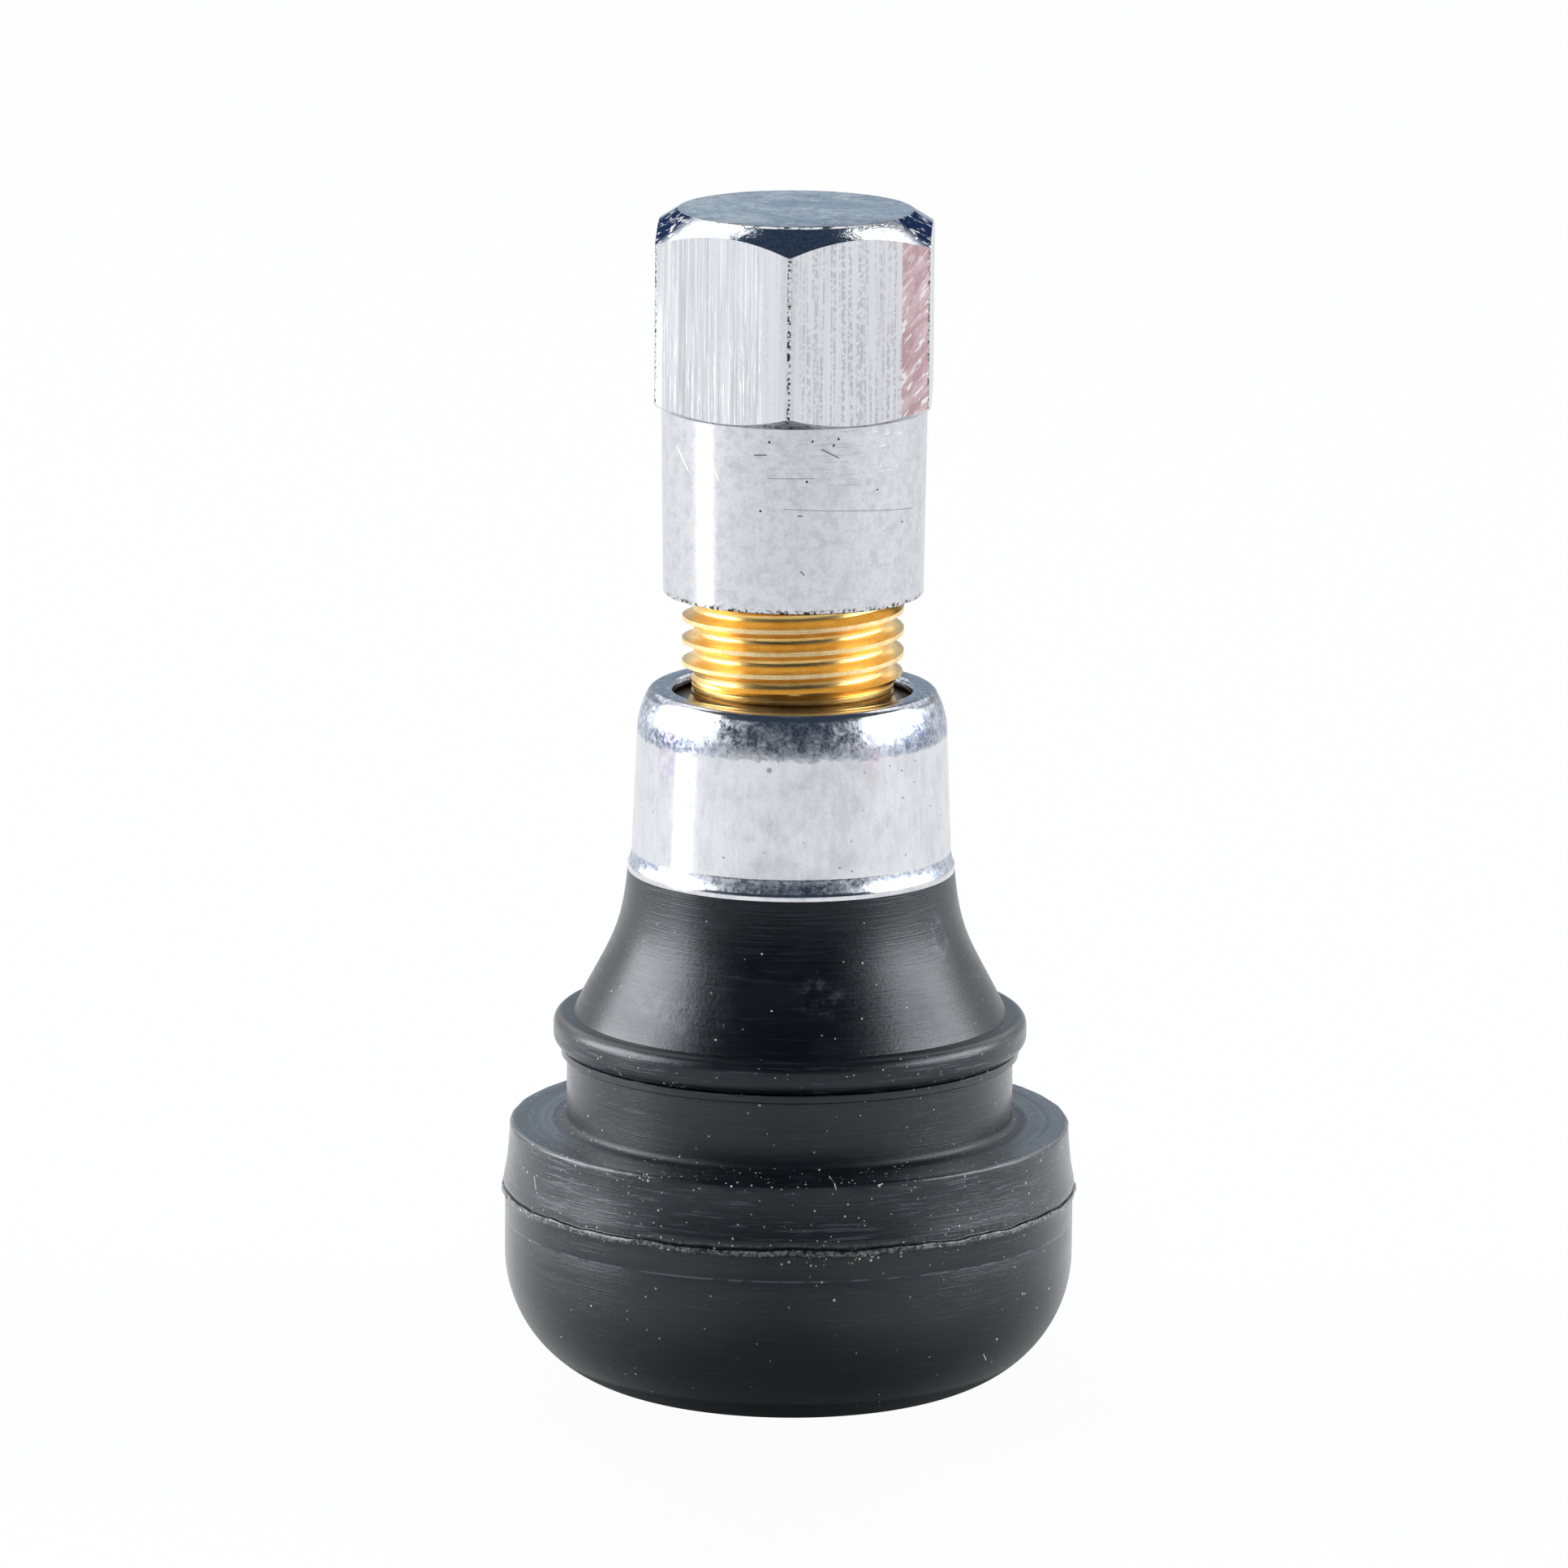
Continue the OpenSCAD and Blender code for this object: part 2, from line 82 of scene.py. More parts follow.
def draw(name, outline, closed):
    """Draws a half outline, (radius, height) in millimetres, as a chain of edges; stays in edit mode."""
    bpy.ops.object.select_all(action="DESELECT")
    bpy.ops.mesh.primitive_plane_add(size=MM)
    piece = bpy.context.object
    piece.name = piece.data.name = name
    bpy.ops.object.mode_set(mode="EDIT")
    bpy.ops.mesh.merge(type="CENTER")
    bpy.ops.transform.translate(value=(outline[0][0] * MM, 0, outline[0][1] * MM))
    ends = outline[1:] + outline[:1] if closed else outline[1:]
    for (r0, z0), (r1, z1) in zip(outline, ends):
        step = ((r1 - r0) * MM, 0, (z1 - z0) * MM)
        bpy.ops.mesh.extrude_vertices_move(TRANSFORM_OT_translate={"value": step})
    bpy.ops.mesh.select_all(action="SELECT")
    bpy.ops.mesh.remove_doubles(threshold=MERGE)
    return piece


def close_up(angle):
    """Merges the seam of the mesh in edit mode, turns its faces outwards and smooths its round faces."""
    bpy.ops.mesh.select_all(action="SELECT")
    bpy.ops.mesh.remove_doubles(threshold=MERGE)
    bpy.ops.mesh.normals_make_consistent(inside=False)
    bpy.ops.object.mode_set(mode="OBJECT")
    bpy.ops.object.shade_smooth_by_angle(angle=math.radians(angle))


def turned(name, outline, steps=192, closed=True, angle=30):
    """A turned piece: its half outline spun round the valve's axis."""
    piece = draw(name, outline, closed)
    bpy.ops.mesh.spin(steps=steps, angle=math.tau, center=(0, 0, 0), axis=(0, 0, 1))
    close_up(angle)
    return piece


def combine(piece, tool, operation):
    """Joins a second solid to the piece or cuts it out of it, and merges the slivers that this leaves."""
    boolean = piece.modifiers.new("combine", "BOOLEAN")
    boolean.operation = operation
    boolean.solver = "EXACT"
    boolean.object = tool
    bpy.ops.object.select_all(action="DESELECT")
    bpy.context.view_layer.objects.active = piece
    bpy.ops.object.modifier_apply(modifier=boolean.name)
    bpy.data.objects.remove(tool)
    bpy.ops.object.mode_set(mode="EDIT")
    bpy.ops.mesh.select_all(action="SELECT")
    bpy.ops.mesh.remove_doubles(threshold=MERGE)
    bpy.ops.mesh.dissolve_degenerate(threshold=MERGE)
    bpy.ops.object.mode_set(mode="OBJECT")


def threaded(name, low, high, crest_r, limit=None):
    """A threaded rod: crests and round roots screwed up by a pitch, and sawn off flat at both ends."""
    outline = []
    root_w = THREAD_PITCH - THREAD_CREST
    ridge = THREAD_START - THREAD_PITCH * math.ceil((THREAD_START - low) / THREAD_PITCH + 1.5)
    while ridge < high + 1.5 * THREAD_PITCH:
        outline.append((crest_r, ridge - THREAD_CREST / 2))
        for share in ROOT_SHARES:
            depth = THREAD_DEPTH * (1 - abs(2 * share - 1) ** ROOT_FULLNESS)
            outline.append((crest_r - depth, ridge + THREAD_CREST / 2 + root_w * share))
        ridge += THREAD_PITCH
    rod = draw(name, outline, closed=False)
    bpy.ops.object.mode_set(mode="OBJECT")
    screw = rod.modifiers.new("screw", "SCREW")
    screw.screw_offset = THREAD_PITCH * MM
    screw.steps = screw.render_steps = SCREW_STEPS
    bpy.ops.object.modifier_apply(modifier=screw.name)
    for corner in rod.data.vertices if limit else ():
        reach = corner.co.xy.length
        corner.co.xy *= min(1, limit(corner.co.z / MM) * MM / reach)
    bpy.ops.object.mode_set(mode="EDIT")
    bpy.ops.mesh.select_all(action="SELECT")
    bpy.ops.mesh.remove_doubles(threshold=2 * MERGE)
    for height, side in ((low, "clear_inner"), (high, "clear_outer")):
        bpy.ops.mesh.select_all(action="SELECT")
        bpy.ops.mesh.bisect(plane_co=(0, 0, height * MM), plane_no=(0, 0, 1), use_fill=True,
                            threshold=SAW_CUT, **{side: True})
    close_up(25)
    return rod


def thread_limit(z):
    """Radius that the thread keeps within: it runs out above the relief and under the tip's chamfer."""
    return min(THREAD_R, RUN_OUT_R + max(0, z - RUN_OUT_Z), THREAD_R - TIP_CHAMFER + STEM_TIP - z)


barbs = []
for row in range(5):
    rise = BARB_STEP * row
    barbs += [(TUBE_R, 9.6 + rise), (BARB_R, 10.2 + rise), (TUBE_R, 10.4 + rise)]
relief_rings = []
for row in range(3):
    ring_z = 24.5 + RING_STEP * row
    relief_rings += [(RELIEF_R, ring_z), (RING_R, ring_z + 0.03),
                     (RING_R, ring_z + 0.08), (RELIEF_R, ring_z + 0.12)]
stem = turned("brass_stem", [
    (0, FOOT_Z), (FOOT_R, FOOT_Z), (FOOT_R, FOOT_TOP), (TUBE_R, FOOT_TOP), *barbs,
    (TUBE_R, FLANGE_Z), (4.69, FLANGE_Z), (4.71, 23.63), (4.71, 24.35), (4.67, SEAT_Z),
    (RELIEF_R, SEAT_Z), *relief_rings, (RELIEF_R, 25.16), (3.38, 25.28), (0, 25.28),
], closed=False)
combine(stem, threaded("valve_thread", 25.0, STEM_TIP, THREAD_R, thread_limit), "UNION")
core_bore = turned("core_bore", [
    (0, 7), (1.5, 7), (1.5, 19.11), (2.12, 19.73), (2.12, 26.74), (2.38, 28.54), (2.5, 28.54),
    (2.5, 30.085), (2.62, 30.74), (2.62, STEM_TIP - TIP_CHAMFER), (3.17, STEM_TIP + 0.1),
    (0, STEM_TIP + 0.1),
], steps=96, closed=False)
combine(stem, core_bore, "DIFFERENCE")
bpy.ops.object.shade_smooth_by_angle(angle=math.radians(25))


class Wire:
    """A value that runs between shader nodes; arithmetic on it adds Math nodes."""

    def __init__(self, tree, socket):
        self.tree = tree
        self.socket = socket

    def node(self, kind, settings=None, sockets=None, output=0):
        """A new node: its settings first, then the values and links of its sockets."""
        made = self.tree.nodes.new(kind)
        for name, value in (settings or {}).items():
            setattr(made, name, value)
        for name, value in (sockets or {}).items():
            if isinstance(value, Wire):
                self.tree.links.new(value.socket, made.inputs[name])
            else:
                made.inputs[name].default_value = value
        return Wire(self.tree, made.outputs[output] if len(made.outputs) else None)

    def maths(self, operation, first, second=0.0):
        return self.node("ShaderNodeMath", {"operation": operation}, {0: first, 1: second})

    def __add__(self, other):
        return self.maths("ADD", self, other)

    def __radd__(self, other):
        return self.maths("ADD", other, self)

    def __sub__(self, other):
        return self.maths("SUBTRACT", self, other)

    def __rsub__(self, other):
        return self.maths("SUBTRACT", other, self)

    def __mul__(self, other):
        return self.maths("MULTIPLY", self, other)

    def __rmul__(self, other):
        return self.maths("MULTIPLY", other, self)

    def __truediv__(self, other):
        return self.maths("DIVIDE", self, other)

    def __abs__(self):
        return self.maths("ABSOLUTE", self)

    def ramp(self, low, high):
        """0 at low and 1 at high, smooth between them; low may be the larger one."""
        return self.node("ShaderNodeMapRange", {"interpolation_type": "SMOOTHSTEP"},
                         {"Value": self, "From Min": low, "From Max": high})

    def mix(self, first, second):
        """Colour between two colours by this value."""
        return self.node("ShaderNodeMix", {"data_type": "RGBA"}, {0: self, 6: first, 7: second}, 2)

    def most(self, other):
        """The larger of this value and another."""
        return self.maths("MAXIMUM", self, other)

    def parts(self):
        """X, Y and Z of this place."""
        return [self.node("ShaderNodeSeparateXYZ", None, {"Vector": self}, axis) for axis in "XYZ"]

    def stretched(self, x, y, z):
        """This place with its axes scaled."""
        return self.node("ShaderNodeVectorMath", {"operation": "MULTIPLY"}, {0: self, 1: (x, y, z)})

    def grain(self, scale, detail=2.0, roughness=0.5):
        """Noise at this place."""
        return self.node("ShaderNodeTexNoise", None,
                         {"Vector": self, "Scale": scale, "Detail": detail, "Roughness": roughness})


def shade_of(red, green, blue):
    """Linear colour of a shade as it shows on screen, 0 to 255."""
    shares = [((c / 255 + 0.055) / 1.055) ** 2.4 if c > 10 else c / 3295 for c in (red, green, blue)]
    return (*shares, 1)


def finish(name, constants):
    """A material with these constant values on its shader, and the place on the piece in millimetres."""
    material = bpy.data.materials.new(name)
    material.use_nodes = True
    tree = material.node_tree
    for socket, value in constants.items():
        tree.nodes["Principled BSDF"].inputs[socket].default_value = value
    coordinates = Wire(tree, tree.nodes.new("ShaderNodeTexCoord").outputs["Object"])
    return material, coordinates.node("ShaderNodeVectorMath", {"operation": "SCALE"},
                                      {"Vector": coordinates, "Scale": 1 / MM})


def feed(material, **wires):
    """Links what changes over the surface to the shader's sockets."""
    tree = material.node_tree
    for name, wire in wires.items():
        tree.links.new(wire.socket, tree.nodes["Principled BSDF"].inputs[name.replace("_", " ").title()])


def bumps(height, depth):
    """Normal of a surface with this height on it, 0 to 1, and this depth in millimetres."""
    return height.node("ShaderNodeBump", None,
                       {"Height": height, "Strength": 1.0, "Distance": depth * MM})


def about_axis(place):
    """Radius, turn from the front in degrees (right is positive) and height of a place."""
    x, y, height = place.parts()
    radius = place.maths("SQRT", x * x + y * y)
    turn = place.maths("ARCTAN2", x, 0 - y) * (180 / math.pi)
    return radius, turn, height


def lathe_lines(place):
    """The place drawn out round the axis, so that noise on it looks like the fine lines of a lathe."""
    x, y, height = place.parts()
    radius = place.maths("SQRT", x * x + y * y)
    return place.node("ShaderNodeCombineXYZ", None,
                      {"X": x / radius, "Y": y / radius, "Z": (height + radius * 0.7) * LINE_FINENESS})


brass, place = finish("turned_brass", {"Metallic": 1.0})
radius, _, height = about_axis(place)
lines = lathe_lines(place)
crest = radius.ramp(3.845, 3.868)
crest_wear = crest * place.grain(11, 3, 0.7).ramp(0.4, 0.56)
# Painted shade: the bottoms of the relief rings' grooves are darkened towards dark brown.
painted_groove_shade = abs(radius - 3.4).ramp(0.1, 0.05) * height.ramp(25.25, 25.15)
tarnish = place.grain(1.4, 4).ramp(0.42, 0.7)
gold = crest_wear.mix(shade_of(255, 216, 138), shade_of(253, 233, 190))
gold = (tarnish * 0.25 + lines.grain(0.7, 3).ramp(0.5, 0.66) * 0.22).mix(gold, shade_of(206, 146, 72))
# Painted shade: the stem below the sleeve's mouth, flange included, is darkened towards dark brown.
painted_shade_below_mouth = radius.ramp(3.56, 3.7) * height.ramp(24.6, 24.5)
feed(brass,
     base_color=(painted_shade_below_mouth + painted_groove_shade * 0.7).mix(gold, shade_of(66, 44, 26)),
     roughness=0.22 + crest * 0.14 + lines.grain(1.5, 3) * 0.12,
     normal=bumps(lines.grain(0.9, 4, 0.7), 0.008))
stem.data.materials.append(brass)
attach(stem, "valve")
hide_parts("stem")

# Rubber body: black rubber moulded and bonded round the stem. Its groove snaps into the rim's hole,
# the mould's parting line leaves a ragged bead round the base, and air enters by the hole below.
MOULD_LINE_Z = 5.9
CRUMB_Z = 6.75
BEAD_Z = 6.91
WALL_Z = 8.2
LEDGE_Z = 9.25
FLARE_STEPS = 24
TINY = 1e-6
FLARE = [(7.61, 13.24), (6.4506, 15.5906), (5.9457, 15.8972), (5.74, 18.35)]
flare = []
for i in range(FLARE_STEPS + 1):
    t = i / FLARE_STEPS
    shares = ((1 - t) ** 3, 3 * t * (1 - t) ** 2, 3 * t * t * (1 - t), t ** 3)
    flare.append(tuple(sum(s * p[axis] for s, p in zip(shares, FLARE)) for axis in (0, 1)))
rubber = turned("rubber_body_moulded", [
    (2.3, FOOT_Z), *arc(2.8, 0.5, 0.5, 180, 270, 6), (3.6, 0), (4.5, 0),
    *arc(5.35, 4.65, 4.65, -90, 0, 36), (10, 5.2), (10, 5.86), (9.99, MOULD_LINE_Z), (10, 5.94),
    (10, 6.4), (10, 6.68), (10.02, 6.77), (10.09, 6.81), (10.13, 6.87), (10.13, 6.94), (10.1, 7.0),
    (9.98, 7.03), (9.97, 7.07), (10.05, 7.11), (10.06, 7.16), (10.03, 7.35), (9.98, 7.6),
    (9.92, 8.0), (9.88, 8.4), (9.84, 8.9), *arc(9.68, 9.16, 0.16, 5, 90, 6), (9.2, 9.32),
    (8.9, 9.3), (8.6, 9.32), (8.3, 9.33), *arc(8.09, 9.58, 0.25, -90, -180, 6), (7.84, 10.5),
    (7.84, 11.2), (7.84, 11.68), (7.88, 11.72), (8.0, 11.72), (8.04, 11.76), (8.04, 12.0),
    (7.98, 12.05), *arc(7.89, 12.47, 0.42, -90, 0, 9), *arc(7.89, 12.82, 0.42, 0, 90, 9),
    (7.7, 13.24), *flare, (5.29, 18.35), (5.14, 19.1), (4.98, 23.19), (4.8, FLANGE_Z),
    (TUBE_R, FLANGE_Z), *reversed(barbs), (TUBE_R, FOOT_TOP), (FOOT_R, FOOT_TOP), (FOOT_R, FOOT_Z),
], steps=320, angle=40)
for corner in rubber.data.vertices:
    r, z = corner.co.xy.length / MM, corner.co.z / MM
    way = corner.co.xy.normalized()
    around = Vector((way.x * 6, way.y * 6, z * 0.4))
    near_bead = max(0, 1 - abs(z - BEAD_Z) / 0.6) if r > 9.6 else 0
    on_flash = max(0, 1 - abs(z - BEAD_Z) / 0.13) if r > 10.01 else 0
    corner.co.xy += way.xy * (0.07 * noise.fractal(around * 4.5, 0.8, 2.0, 5) - 0.02) * on_flash * MM
    wave = noise.fractal(around * 1.3 + Vector((9, 4, 1)), 0.8, 2.0, 4)
    corner.co.z += wave * 0.07 * near_bead * MM
    edge = max(0, 1 - abs(z - LEDGE_Z) / 0.25) if r > 9.5 else 0
    corner.co.xy += way.xy * noise.fractal(around * 1.6, 0.9, 2.0, 4) * 0.03 * edge * MM


def specks(place, scale, size, share):
    """1 on scattered specks of this radius in mm; share says how many of the texture's cells hold one."""
    cell = place.node("ShaderNodeTexVoronoi", None, {"Vector": place, "Scale": scale, "Randomness": 1.0})
    colour = Wire(place.tree, cell.socket.node.outputs["Color"])
    lot = cell.node("ShaderNodeSeparateColor", None, {"Color": colour})
    return cell.ramp(size * scale, size * scale * 0.5) * (share - lot).ramp(0, 0.02)


def marked(turn, height, reach, width, marks):
    """1 on straight marks, each from one (turn, height) to another, on a round face of this radius."""
    found = None
    for (turn_0, height_0), (turn_1, height_1) in marks:
        run, rise = math.radians(turn_1 - turn_0) * reach, height_1 - height_0
        across, up = (turn - turn_0) * math.radians(reach), height - height_0
        share = (across * run + up * rise) / max(run * run + rise * rise, TINY)
        share = turn.maths("MINIMUM", share.most(0), 1)
        across, up = across - share * run, up - share * rise
        near = turn.maths("SQRT", across * across + up * up).ramp(width, width * 0.4)
        found = found.most(near) if found else near
    return found


black_rubber, place = finish("black_rubber", {
    "IOR": 1.48, "Specular Tint": (0.91, 0.95, 1, 1), "Coat Roughness": 0.26, "Coat IOR": 1.3})
radius, turn, height = about_axis(place)
lines = lathe_lines(place)
bloom = place.grain(0.55, 5, 0.6).ramp(0.45, 0.8)
wiped = lines.grain(0.9, 4, 0.6).ramp(0.5, 0.78)
base_wall = abs(height - WALL_Z).ramp(1.2, 0.8) * radius.ramp(9.5, 9.7)
brushable = 0.2 + base_wall * 0.8 + abs(height - 12.5).ramp(0.7, 0.4) * 0.5
brushed = place.stretched(0.55, 0.55, 9).grain(1, 3, 0.6).ramp(0.54, 0.68) * brushable
dusty = abs(height - 12.4).ramp(0.7, 0.3) * 0.4 + abs(height - LEDGE_Z).ramp(0.3, 0.1) * 0.7
dusty = 0.09 + dusty + abs(height - BEAD_Z).ramp(0.5, 0.15) * 0.6 + base_wall * 0.3
dust = specks(place, 2.6, 0.05, dusty).most(specks(place, 1.1, 0.06, 0.28))
dust = dust.most(specks(place, 4.4, 0.038, dusty * 0.8) * 0.7)
crumbly = abs(height - CRUMB_Z).ramp(0.4, 0.1) * turn.ramp(-2, 14) * turn.ramp(32, 22)
crumbly = crumbly * place.grain(1.8, 4).ramp(0.35, 0.7)
crumbs = specks(place, 5, 0.06, crumbly * 0.6).most(specks(place, 9, 0.04, crumbly * 0.7))
flash = radius.ramp(10.04, 10.09) * place.grain(6, 4, 0.75).ramp(0.42, 0.6)
foot = height.ramp(10.2, 9.6) * radius.ramp(8.5, 8.25)
ledge_top = height.ramp(9.22, 9.28) * height.ramp(9.5, 9.4) * radius.ramp(7.95, 8.1)
# Painted sheen: the ledge is painted lighter grey away from the front, where it faces the side lights,
# broken by ring lines.
painted_ledge_sheen_mask = ledge_top * abs(turn).ramp(30, 75)
film = 0.3 + height.ramp(13.6, 12.9) * 0.3 + height.ramp(12.1, 11.8) * 0.4
film = film * (1 - ledge_top * 0.6) * (1 - foot * 0.8)
fibres = marked(turn, height, 10, 0.025, [((11.5, 9.3), (11.7, 9.12)), ((20.4, 9.2), (21.4, 9.24)),
                                          ((-61.6, 8.2), (-60.2, 7.8)), ((48.2, 2.5), (50.2, 2.2))])
dirt = dust.most(crumbs).most(fibres)
smears = marked(turn, height, 6.3, 0.75, [((-43, 14.6), (-30, 14.3)), ((60, 16.9), (62, 15.9)),
                                          ((10, 15.2), (14, 15.1))])
smears = smears * place.grain(2.2, 4, 0.7).ramp(0.42, 0.7) * 0.6
mould_line = abs(height - MOULD_LINE_Z).ramp(0.045, 0.02) * place.grain(1.2, 3).ramp(0.42, 0.55)
black = bloom.mix(shade_of(9, 10, 15), shade_of(17, 19, 27))
black = (wiped * 0.35).mix(black, shade_of(30, 33, 42))
black = (brushed * 0.45).mix(black, shade_of(90, 95, 106))
black = (flash * 0.8).mix(black, shade_of(138, 138, 136))
painted_ledge_sheen = painted_ledge_sheen_mask * (0.42 + lines.grain(0.5, 3).ramp(0.4, 0.65) * 0.5)
black = painted_ledge_sheen.mix(black, shade_of(104, 109, 117))
black = (mould_line * 0.6 + smears).mix(black, shade_of(96, 100, 108))
pale = place.grain(2.4, 3).ramp(0.4, 0.6).mix(shade_of(196, 192, 182), shade_of(240, 234, 218))
relief = lines.grain(1.6, 5, 0.65) * 0.6 + place.grain(7, 3, 0.6) * 0.4 + brushed * 0.5 + dirt * 0.8
feed(black_rubber,
     base_color=dirt.mix(black, pale),
     coat_weight=film,
     roughness=0.24 + bloom * 0.1 + lines.grain(1.2, 3) * 0.12 + dirt * 0.3 + foot * 0.15,
     normal=bumps(relief, 0.025))
rubber.data.materials.append(black_rubber)
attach(rubber, "valve")
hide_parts("rubber_body")

# Chrome sleeve: thin brass sheet drawn to a cup, pierced, turned in at its mouth and flared at its lower
# lip, then bright chromed. It is pressed over the rubber and rests on the stem's flange.
sleeve = turned("chrome_sleeve", [
    (5.32, 18.37), (5.34, 18.35), (5.715, 18.35), (5.735, 18.37), (5.74, 18.42), (5.74, 18.5),
    (5.735, 18.57), (5.715, 18.61), (5.69, 18.66), (5.65, 18.76), (5.615, 18.9), (5.598, 19.02),
    (5.59, 19.12), (5.57, 19.7), (5.535, 20.6), (5.5, 21.5), (5.465, 22.4),
    *arc(2.33, 23.19, 3.1, 0, 27.3, 14), *arc(4.723, 24.44, 0.4, 28, 90, 10),
    *arc(4.395, 24.615, 0.225, 90, 270, 12), (4.6, SEAT_Z), (4.73, SEAT_Z), (4.86, 23.9),
    (4.98, 23.19), (5.06, 21.2), (5.14, 19.1), (5.2, 18.7),
], steps=256)

chrome, place = finish("bright_chrome", {"Metallic": 1.0})
_, turn, height = about_axis(place)
ragged_height = height + place.grain(2.2, 4, 0.6) * 0.5
dome = ragged_height.ramp(23.42, 23.56) * height.ramp(24.62, 24.52)
lip = height.ramp(19.12, 19.02) * height.ramp(18.58, 18.64)
# Painted reflection: the crown is painted navy in patches, away from the front.
painted_crown_reflection = height.ramp(24.5, 24.64) * place.grain(5, 4, 0.7).ramp(0.25, 0.55) * abs(turn).ramp(30, 60)
patches = place.grain(3.2, 5, 0.65).ramp(0.4, 0.62)
haze = place.grain(9, 4, 0.7).ramp(0.3, 0.7) * 0.6 + place.grain(2.6, 3).ramp(0.35, 0.65) * 0.4
dim = place.grain(0.9, 4).ramp(0.4, 0.75)
handled = place.stretched(1, 1, 0.3).grain(4, 5, 0.75).ramp(0.42, 0.62) * 0.6
handled = handled + place.grain(11, 3, 0.7).ramp(0.48, 0.66) * 0.5
tinge = place.grain(3, 4, 0.6).ramp(0.3, 0.75)
lilac = abs(turn + 51).ramp(7, 4) * abs(height - 23).ramp(1.3, 0.7) * tinge
pink = abs(turn - 33).ramp(4.5, 2) * abs(height - 23.2).ramp(1.1, 0.5) * tinge
# Painted reflection: dark navy patches on the dome at the right and mottles at the left stand for the
# dark room mirrored in it.
painted_navy_reflection = abs(turn - 57).ramp(18, 6) * abs(height - 23.8).ramp(0.65, 0.35)
painted_navy_reflection = painted_navy_reflection * place.grain(9, 5, 0.75).ramp(0.4, 0.6)
painted_navy_mottles = abs(turn + 50).ramp(20, 10) * abs(height - 23.5).ramp(0.4, 0.15)
painted_navy_mottles = painted_navy_mottles * place.grain(6, 4, 0.7).ramp(0.47, 0.56)
dent = marked(turn, height, 5.45, 0.13, [((-6, 22.94), (-6, 22.94))])
pits = specks(place, 2.3, 0.045, 0.5).most(dent * 0.7)
tone = (dim * 0.4 + handled * 0.5).mix(shade_of(240, 240, 241), shade_of(206, 207, 209))
# Painted reflection: the dome and lip are painted blue-grey, more towards the sides and in patches.
painted_dome_reflection = 0.08 + abs(turn).ramp(15, 45) * 0.34 + patches * 0.5
tone = ((dome + lip) * painted_dome_reflection).mix(tone, shade_of(140, 152, 172))
tone = (painted_crown_reflection * 0.8).mix(tone, shade_of(92, 108, 134))
tone = (lilac * 0.55).mix(tone, shade_of(190, 165, 210))
tone = (pink * 0.5).mix(tone, shade_of(222, 190, 198))
tone = (painted_navy_reflection * 0.75 + painted_navy_mottles * 0.7).mix(tone, shade_of(48, 64, 94))
feed(chrome,
     base_color=pits.mix(tone, shade_of(118, 120, 126)),
     roughness=0.14 + dim * 0.06 + (dome + lip) * haze * 0.37,
     normal=bumps(place.grain(1.6, 2) * 0.5 + place.grain(6, 2) * (dome + lip) * 0.6, 0.012))
sleeve.data.materials.append(chrome)
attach(sleeve, "valve")
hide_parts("sleeve")

# Valve core: a threaded brass plug with a bridge, and a barrel that swivels in it, with a white packing
# ring. The pin runs through both and carries the brass cup whose rubber ring shuts the barrel.
def dress(node, material):
    """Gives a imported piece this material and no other."""
    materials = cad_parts[node].data.materials
    materials.clear()
    materials.append(material)


core_brass, place = finish("core_brass", {"Metallic": 1.0})
lines = lathe_lines(place)
spots = place.grain(2.2, 4).ramp(0.5, 0.75)
feed(core_brass,
     base_color=(spots * 0.5).mix(shade_of(222, 184, 112), shade_of(170, 122, 62)),
     roughness=0.24 + lines.grain(1.5, 3) * 0.14,
     normal=bumps(lines.grain(2.0, 3), 0.006))
for node in ("core_plug", "core_barrel", "core_cup"):
    dress(node, core_brass)

pin_steel, place = finish("core_pin_metal", {"Metallic": 1.0})
lines = lathe_lines(place)
feed(pin_steel,
     base_color=place.grain(3, 4).ramp(0.4, 0.7).mix(shade_of(204, 200, 188), shade_of(168, 160, 142)),
     roughness=0.22 + lines.grain(1.5, 3) * 0.16,
     normal=bumps(lines.grain(2.4, 3), 0.005))
dress("core_pin", pin_steel)

packing_white, place = finish("packing_ring_white", {"IOR": 1.38})
feed(packing_white,
     base_color=place.grain(2.5, 4).ramp(0.4, 0.7).mix(shade_of(230, 226, 214), shade_of(206, 198, 180)),
     roughness=0.42 + place.grain(5, 3) * 0.14,
     normal=bumps(place.grain(8, 3), 0.008))
dress("core_packing", packing_white)

seal_black, place = finish("seal_rubber_black", {"IOR": 1.5})
feed(seal_black,
     base_color=place.grain(1.8, 4).ramp(0.4, 0.75).mix(shade_of(34, 32, 31), shade_of(58, 54, 51)),
     roughness=0.5 + place.grain(4, 3) * 0.2,
     normal=bumps(place.grain(6, 4), 0.015))
dress("core_cup_seal", seal_black)

# Core spring: steel wire coiled in seven turns with cut ends. It stands on the barrel's floor and holds
# the pin up by its collar, and it shortens when the pin is pressed.
FLOOR_Z = 23.14
WIRE_R = 0.14
COIL_R = 1.09
COIL_TURNS = 7
SPRING_H = 5
bpy.ops.object.select_all(action="DESELECT")
bpy.ops.mesh.primitive_circle_add(vertices=14, radius=WIRE_R * MM, rotation=(math.pi / 2, 0, 0),
                                  location=(COIL_R * MM, 0, (FLOOR_Z + WIRE_R) * MM))
spring = bpy.context.object
spring.name = spring.data.name = "coil_spring"
bpy.ops.object.transform_apply(location=True, rotation=True, scale=True)
coil = spring.modifiers.new("coil", "SCREW")
coil.iterations = COIL_TURNS
coil.screw_offset = (SPRING_H - 2 * WIRE_R) / COIL_TURNS * MM
coil.steps = coil.render_steps = 28
bpy.ops.object.modifier_apply(modifier=coil.name)
bpy.ops.object.mode_set(mode="EDIT")
bpy.ops.mesh.select_all(action="SELECT")
